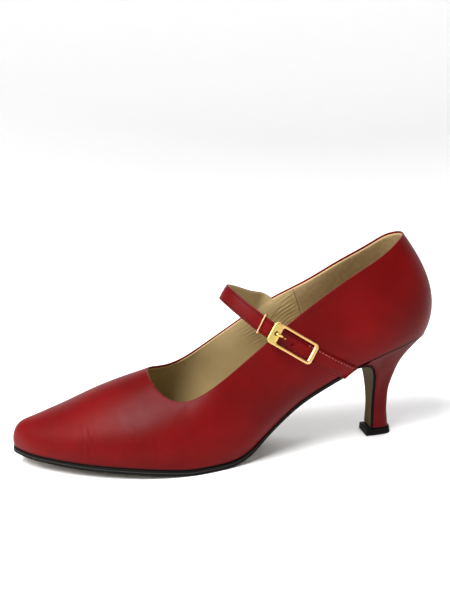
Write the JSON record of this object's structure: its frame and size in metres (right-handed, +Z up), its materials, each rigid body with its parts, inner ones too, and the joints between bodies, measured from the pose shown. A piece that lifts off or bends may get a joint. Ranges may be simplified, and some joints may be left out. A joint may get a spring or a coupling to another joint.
{
  "type": "mary jane shoe",
  "caption": "Left mary jane court shoe with an almond toe, a buckled strap over the instep and a slim covered heel, standing empty.",
  "frame": {"origin": "centre of the shoe's bounding box in plan, on the floor it stands on", "axes": "+X towards the toe, +Y towards the outer side of this left shoe, where the buckle is, +Z up"},
  "size_m": [0.2492, 0.0772, 0.1216],
  "materials": {
    "upper_leather": "smooth deep red leather, semi-gloss, with fine creases",
    "lining_leather": "matt beige lining leather",
    "sole_leather": "smooth olive-tan sole leather with black inked edges",
    "top_piece_rubber": "matt black rubber",
    "gold_metal": "polished gold-coloured plating"
  },
  "bodies": {
    "root": {"upper": "upper_leather", "insole": "lining_leather", "outsole": "sole_leather", "heel_block": "upper_leather", "heel_tip": "top_piece_rubber", "instep_strap": "upper_leather", "buckle_strap": "upper_leather", "buckle_frame": "gold_metal", "buckle_prong": "gold_metal", "keeper_loop": "gold_metal"}
  },
  "joints": []
}
